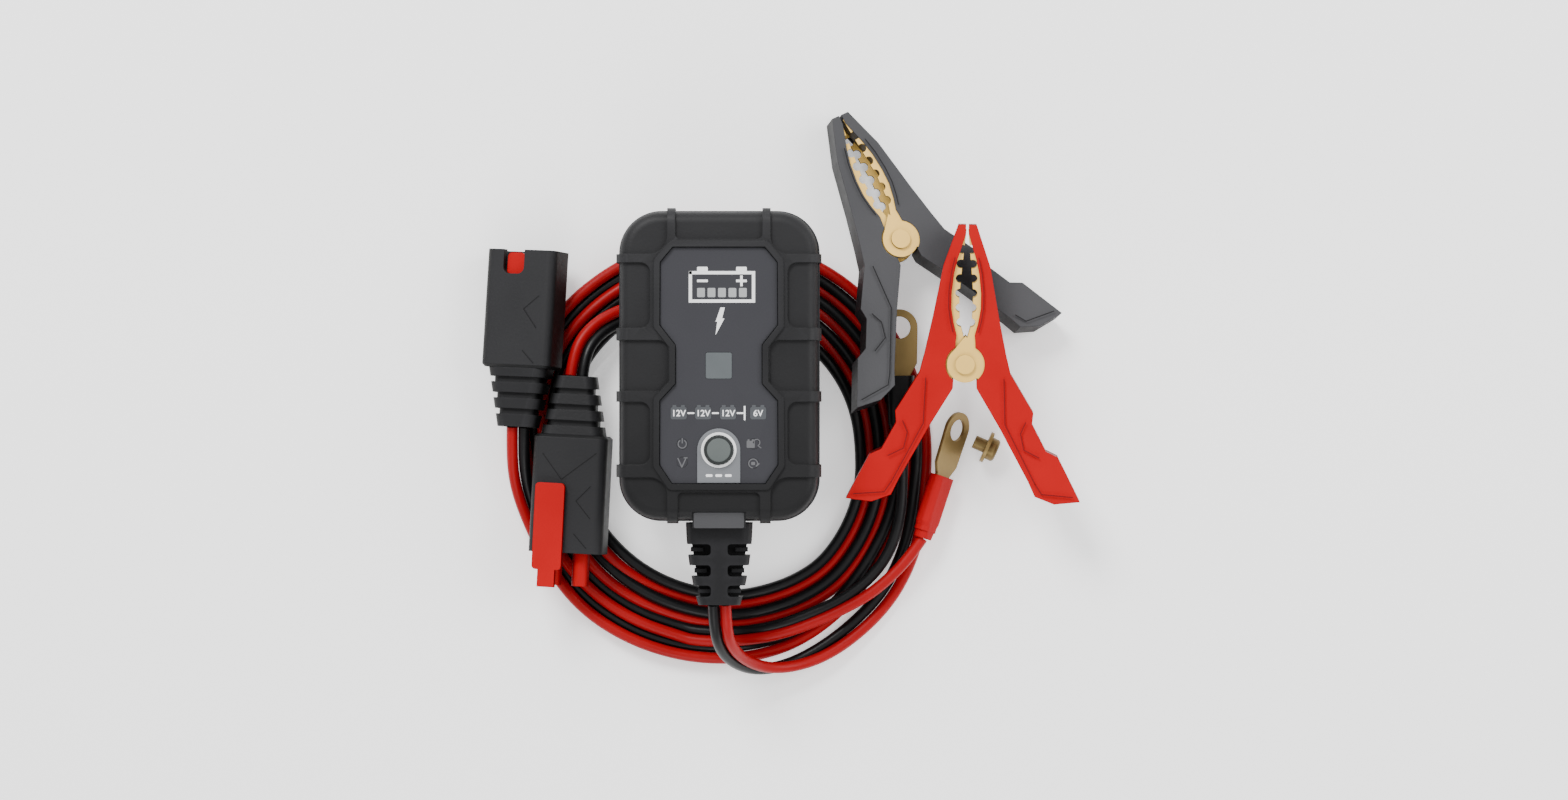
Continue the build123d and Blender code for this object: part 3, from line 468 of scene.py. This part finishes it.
RED_TAIL = [
    (-7.8, -79.6, 4.2),
    (4.6, -79.8, 5.6),
    (18.0, -77.6, 7.0),
    (31.3, -72.4, 7.6),
    (42.1, -66.9, 8.1),
    (50.1, -60.3, 8.1),
    (55.6, -54.0, 7.9),
    (58.5, -49.7, 7.8),
]
BLACK_TAIL = [
    (-7.4, -76.8, 2.4),
    (5.0, -77.2, 4.2),
    (16.0, -75.4, 6.2),
    (25.8, -71.8, 7.1),
    (35.2, -67.6, 7.1),
    (43.8, -61.2, 7.1),
    (49.6, -52.8, 7.2),
    (52.3, -42.6, 7.2),
    (52.8, -32.0, 7.4),
    (52.5, -21.5, 8.0),
]

PLUG_PIECES = ["plug_shell", "plug_relief", "plug_insert", "plug_contacts", "plug_latch"]
RED_END = ["red_eyelet", "red_boot"]
BLACK_END = ["black_eyelet", "black_boot"]
RELIEF_EXIT = at(0, -68, 33)
SOCKET_EXIT = at(-58.4, -17.5, 12)
red_strand = strand(charger_rows, 1)
black_strand = strand(charger_rows, -1)
red_branch = strand(clamp_rows, 1) + RED_TAIL
black_branch = strand(clamp_rows, -1) + BLACK_TAIL
# Name, path, finish, where it leaves, length in metres, kind of far end and the pieces on it
CORDS = (
    ("lead_red", red_strand, RED_WIRE, RELIEF_EXIT, 0.88, "connector", PLUG_PIECES),
    ("lead_black", black_strand, BLACK_WIRE, RELIEF_EXIT, 0.84, "connector", PLUG_PIECES),
    ("clamp_red", red_branch, RED_WIRE, SOCKET_EXIT, 0.53, "fitting", RED_END),
    ("clamp_black", black_branch, BLACK_WIRE, SOCKET_EXIT, 0.53, "fitting", BLACK_END),
)
for cord_name, cord_points, cord_finish, leaves, cord_length, far_end, on_it in CORDS:
    piece = lead(f"cord_{cord_name}", cord_points, cord_finish)
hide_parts("charger_lead_red", "lead_coil", "plug_tails")
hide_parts("charger_lead_black")
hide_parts("clamp_lead_red", "socket_tails")
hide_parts("clamp_lead_black")

# ---------------------------------------------------------------- marks and small parts


def lying(x, y, height, heading, slope_x, slope_y):
    """The matrix from millimetres in a plane at x, y and height to metres in the scene.

    heading turns the plane, in degrees; the slopes are its rise along its own X and Y.
    """
    turn = math.radians(heading)
    right = Vector((math.cos(turn), math.sin(turn), 0))
    ahead = Vector((-math.sin(turn), math.cos(turn), 0))
    x_dir = (right + Vector((0, 0, slope_x))).normalized()
    z_dir = (Vector((0, 0, 1)) - right * slope_x - ahead * slope_y).normalized()
    axes = Matrix((x_dir, z_dir.cross(x_dir), z_dir)).transposed().to_4x4()
    return Matrix.Translation(at(x, y, height)) @ axes @ Matrix.Scale(MM, 4)


def facing(node):
    """The plane level with a CAD node's highest point, measured from the middle of the charger."""
    return lying(0, 0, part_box(node)[1].z / MM, 0, 0, 0)


# Shapes of one mark that overlap end at slightly different heights, in millimetres
OVERLAP_STEP = 0.01


def prisms(name, place, outlines, low, high, finish, body):
    """Thin flat shapes standing on a plane; each outline is convex."""
    vertices = []
    faces = []
    for place_in_row, outline in enumerate(outlines):
        first = len(vertices)
        count = len(outline)
        for level in (low, high + OVERLAP_STEP * (place_in_row % 3)):
            vertices += [place @ Vector((x, y, level)) for x, y in outline]
        faces.append(tuple(first + index for index in reversed(range(count))))
        faces.append(tuple(first + count + index for index in range(count)))
        for index in range(count):
            following = (index + 1) % count
            base = (first + index, first + following)
            faces.append((*base, base[1] + count, base[0] + count))
    mesh = bpy.data.meshes.new(name)
    mesh.from_pydata(vertices, [], faces)
    mesh.materials.append(finish)
    made = bpy.data.objects.new(name, mesh)
    bpy.context.scene.collection.objects.link(made)
    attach(made, body)
    return made


STROKE_END = 0.9


def bar(x0, y0, x1, y1, width):
    """A straight stroke between two points, a little longer at each end."""
    across = Vector((x1 - x0, y1 - y0)).normalized() * (width / 2)
    along = across * STROKE_END
    corners = ((x0, y0, -1, -1), (x1, y1, 1, -1), (x1, y1, 1, 1), (x0, y0, -1, 1))
    return [
        (x + a * along.x - b * across.y, y + a * along.y + b * across.x) for x, y, a, b in corners
    ]


def strokes(points, width):
    """A bent stroke through the points."""
    return [bar(*first, *second, width) for first, second in zip(points, points[1:])]


def arc(x, y, radius, width, start, end):
    """A curved stroke, in degrees from +X, counter-clockwise."""
    count = max(4, round((end - start) / 15))
    turns = [math.radians(start + (end - start) * index / count) for index in range(count + 1)]
    points = [(x + radius * math.cos(turn), y + radius * math.sin(turn)) for turn in turns]
    return strokes(points, width)


def pad(x, y, width, height, corner):
    """A filled rectangle with rounded corners."""
    outline = []
    for quarter, (side, rise) in enumerate(((1, 1), (-1, 1), (-1, -1), (1, -1))):
        for step in range(4):
            turn = math.radians(90 * quarter + 30 * step)
            outline.append(
                (
                    x + side * (width / 2 - corner) + corner * math.cos(turn),
                    y + rise * (height / 2 - corner) + corner * math.sin(turn),
                )
            )
    return outline


# How far a printed mark stands above its face, in millimetres
INK = 0.06
PANEL_FACE = facing("control_panel")
WINDOW_FACE = facing("battery_windows")
PLATE_FACE = facing("button_plate")

# A car battery with a charge level, and a bolt below it
badge_box = [(-8.0, 26.2), (9.8, 26.2), (9.8, 18.2), (-8.0, 18.2), (-8.0, 26.2)]
badge = strokes(badge_box, 0.9)
badge += [pad(-4.6, 27.2, 3.0, 1.3, 0.3), pad(6.4, 27.2, 3.0, 1.3, 0.3)]
badge += [bar(-5.8, 23.9, -3.4, 23.9, 0.7)]
badge += [bar(5.2, 23.9, 7.6, 23.9, 0.7), bar(6.4, 22.7, 6.4, 25.1, 0.7)]
prisms("print_badge", PANEL_FACE, badge, 0, INK, PRINT, "charger")
level = [pad(-5.0 + 2.95 * index, 20.6, 2.2, 2.6, 0.3) for index in range(5)]
prisms("print_level", PANEL_FACE, level, 0, INK, PRINT_GREY, "charger")
bolt = [
    [(1.7, 16.4), (0.7, 12.4), (-0.9, 12.4), (0.5, 16.4)],
    [(-0.9, 8.6), (-0.3, 13.3), (1.6, 13.3)],
]
prisms("print_bolt", PANEL_FACE, bolt, 0, INK, PRINT, "charger")

# Battery marks: terminals, the strokes that join them, and their voltages
BATTERY_Y = -13.4
BATTERY_XS = (-11.3, -4.4, 2.6, 11.1)
terminals = [
    pad(x + side, BATTERY_Y + 2.0, 1.1, 0.6, 0.2) for x in BATTERY_XS for side in (-1.2, 1.2)
]
prisms("battery_terminals", PANEL_FACE, terminals, 0, INK, ICON, "charger")
joins = [bar(x + 2.7, BATTERY_Y, x + 4.2, BATTERY_Y, 0.45) for x in BATTERY_XS[:3]]
joins.append(bar(7.3, BATTERY_Y - 1.8, 7.3, BATTERY_Y + 1.8, 0.45))
prisms("battery_joins", PANEL_FACE, joins, 0, INK, PRINT, "charger")
for index, (x, volts) in enumerate(zip(BATTERY_XS, ("12V", "12V", "12V", "6V"))):
    text = bpy.data.curves.new(f"volts_{index + 1}", "FONT")
    text.body = volts
    text.align_x = "CENTER"
    text.align_y = "CENTER"
    text.size = 2.5
    text.extrude = INK / 2
    text.offset = 0.04
    text.materials.append(PRINT)
    label = bpy.data.objects.new(f"volts_{index + 1}", text)
    bpy.context.scene.collection.objects.link(label)
    label.matrix_world = WINDOW_FACE @ Matrix.Translation((x, BATTERY_Y - 0.1, INK / 2))
    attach(label, "charger")

# Status marks: power, charged, battery fault and repair
status = arc(-10.3, -22.1, 1.15, 0.3, 125, 415) + [bar(-10.3, -21.8, -10.3, -20.6, 0.3)]
status += strokes([(-11.5, -26.2), (-10.4, -28.6), (-9.2, -26.0)], 0.34)
status += [bar(-9.8, -26.0, -8.9, -26.0, 0.3), pad(9.0, -22.2, 2.3, 2.0, 0.2)]
status += [pad(8.4, -21.0, 0.6, 0.4, 0.1), pad(9.6, -21.0, 0.6, 0.4, 0.1)]
status += arc(10.7, -21.7, 0.9, 0.26, -60, 200) + [bar(11.1, -22.6, 11.9, -23.2, 0.26)]
status += arc(9.7, -27.6, 1.25, 0.3, -30, 260)
status += [pad(9.7, -27.6, 1.1, 0.9, 0.2), bar(10.6, -28.3, 11.3, -27.7, 0.4)]
prisms("status_marks", PANEL_FACE, status, -0.2, INK, DIM, "charger")
steps = [pad(x, -31.0, 1.9, 0.75, 0.3) for x in (-2.7, 0.0, 2.7)]
prisms("plate_marks", PLATE_FACE, steps, 0, INK, PRINT, "charger")

# A dark ring of painted shade round the edge of the mode button, and the lighter cap over the
# strain relief
BUTTON_FACE = facing("mode_button")
rim = arc(0, -23.8, 3.72, 0.62, 0, 360)
prisms("button_rim_shade", BUTTON_FACE, rim, -0.3, 0.05, BUTTON_EDGE_SHADE, "mode_button")
RELIEF_CAP = lying(0, -43.6, 45.22, 0, 0, 0.47)
cap = [pad(0, 0, 14.2, 4.9, 0.5)]
prisms("relief_cap", RELIEF_CAP, cap, 0.0, 0.25, CAP, "charger")

# A dark block behind the slots of the strain relief: painted shade inside them
RELIEF_MIDDLE = lying(0, 0, 33.0, 0, 0, 0)
core = [[(-8.2, -48.4), (-5.2, -67.0), (5.2, -67.0), (8.2, -48.4)]]
prisms("relief_slot_shade", RELIEF_MIDDLE, core, -3.0, 1.2, BLACK_PAINTED_SHADE, "charger")

# Painted shade in the grooves of the lead connectors, drawn as dark lines, and the connectors'
# catch
SOCKET = lying(-58.4, -17.5, 12.0, -2.6, 0.40, -0.04)
PLUG = lying(-41.4, -2.8, 13.0, 177.1, -0.16, 0.0)
CONNECTOR_TOP = 6.0
GROOVE = 0.28
# A drawn line starts this far below the face it marks and ends this far above it
LINE_BELOW = 0.02
LINE_ABOVE = 0.04
plug_lines = strokes([(7.6, 22.7), (1.8, 29.9), (-8.0, 22.0)], GROOVE)
plug_lines += strokes([(-6.8, 31.6), (-2.8, 35.9), (-7.1, 40.8)], GROOVE)
plug_lines += [bar(-2.6, 45.4, -6.4, 49.4, GROOVE)]
socket_lines = strokes([(6.8, 37.8), (2.2, 33.9), (6.4, 28.6)], GROOVE)
socket_lines += [bar(2.6, 21.9, 6.2, 18.4, GROOVE)]
for half, plane, shade_lines in (("plug", PLUG, plug_lines), ("socket", SOCKET, socket_lines)):
    prisms(
        f"{half}_groove_shade",
        plane,
        shade_lines,
        CONNECTOR_TOP - LINE_BELOW,
        CONNECTOR_TOP + LINE_ABOVE,
        BLACK_PAINTED_SHADE,
        "charger",
    )
catch = [pad(-1.8, 46.9, 5.4, 6.6, 1.2)]
prisms("socket_catch", SOCKET, catch, 2.9, 4.3, RED_PLASTIC, "charger")

# Painted shade along the facets and under the lips of the clamp grips, drawn as dark lines for one
# half and mirrored for the other
# The clamp's middle lies this far above its plane, and its top face this far above its middle
GRIP_MIDDLE = 5.5
GRIP_TOP = 5.5
LIP_LINES = (
    [(3.7, 9.4), (4.4, 12.2), (5.0, 16.2), (5.0, 20.8), (4.4, 26.2), (3.4, 30.6)],
    [(20.6, -34.0), (22.6, -36.9), (31.4, -37.6)],
)
HANDLE_LINES = (
    [(11.2, -4.0), (11.7, -17.0), (20.6, -34.0)],
    [(17.6, -16.4), (16.2, -19.6), (17.2, -24.2), (21.6, -26.4)],
)
CLAMPS = (
    ("red", lying(70.6, 1.1, 14.5, -1.0, 0.03, 0.065), RED_PAINTED_SHADE, "plastic_red"),
    ("black", lying(50.4, 34.9, 4.5, 24.7, -0.2295, -0.0975), BLACK_PAINTED_SHADE, "plastic_grey"),
)
for clamp_name, clamp_plane, shade_finish, line_slot in CLAMPS:
    middle = clamp_plane @ Matrix.Translation((0, 0, GRIP_MIDDLE))
    for side_name, side in (("left", -1), ("right", 1)):
        # The red clamp lies on the black one's right handle, which stays plain there
        covered = clamp_name == "black" and side_name == "right"
        shade_lines = []
        for points in LIP_LINES if covered else LIP_LINES + HANDLE_LINES:
            shade_lines += strokes([(side * x, y) for x, y in points], 0.3)
        prisms(
            f"{clamp_name}_lines_{side_name}",
            middle,
            shade_lines,
            GRIP_TOP - LINE_BELOW,
            GRIP_TOP + LINE_ABOVE,
            shade_finish,
            f"{clamp_name}_{side_name}_lever",
        )

# ---------------------------------------------------------------- camera, light and floor

camera_data = bpy.data.cameras.new("camera")
camera_data.lens = 120
camera_data.sensor_width = 36
camera = bpy.data.objects.new("camera", camera_data)
bpy.context.scene.collection.objects.link(camera)
camera.location = (-0.01888, -0.01255, 1.522)
bpy.context.scene.camera = camera


def lamp(name, place, aim, size, energy):
    """A square softbox aimed at a point."""
    data = bpy.data.lights.new(name, "AREA")
    data.size = size
    data.energy = energy
    made = bpy.data.objects.new(name, data)
    bpy.context.scene.collection.objects.link(made)
    made.location = place
    made.rotation_euler = (Vector(aim) - Vector(place)).to_track_quat("-Z", "Y").to_euler()


lamp("key", (-0.45, 0.85, 1.0), (0, 0, 0), 0.5, 20)
lamp("fill", (0.85, 0.25, 0.9), (0, 0, 0), 0.7, 9)
lamp("front", (-0.1, -0.95, 0.8), (0, 0, 0), 0.6, 4)

world = bpy.data.worlds.new("studio")
world.use_nodes = True
world.node_tree.nodes["Background"].inputs["Color"].default_value = (1, 1, 1, 1)
world.node_tree.nodes["Background"].inputs["Strength"].default_value = 0.95
bpy.context.scene.world = world

HALF = 6.0
FLOOR_GAP = 0.0002
floor_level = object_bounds()[0].z - FLOOR_GAP
floor_corners = [(-HALF, -HALF, 0), (HALF, -HALF, 0), (HALF, HALF, 0), (-HALF, HALF, 0)]
floor_mesh = bpy.data.meshes.new("floor")
floor_mesh.from_pydata(floor_corners, [], [(0, 1, 2, 3)])
floor = bpy.data.objects.new("floor", floor_mesh)
bpy.context.scene.collection.objects.link(floor)
floor.location.z = floor_level
floor_finish = bpy.data.materials.new("floor")
floor_finish.use_nodes = True
paint = floor_finish.node_tree.nodes["Principled BSDF"]
paint.inputs["Base Color"].default_value = (0.95, 0.95, 0.95, 1)
paint.inputs["Roughness"].default_value = 0.8
paint.inputs["Emission Color"].default_value = (1, 1, 1, 1)
paint.inputs["Emission Strength"].default_value = 0.5
floor_mesh.materials.append(floor_finish)
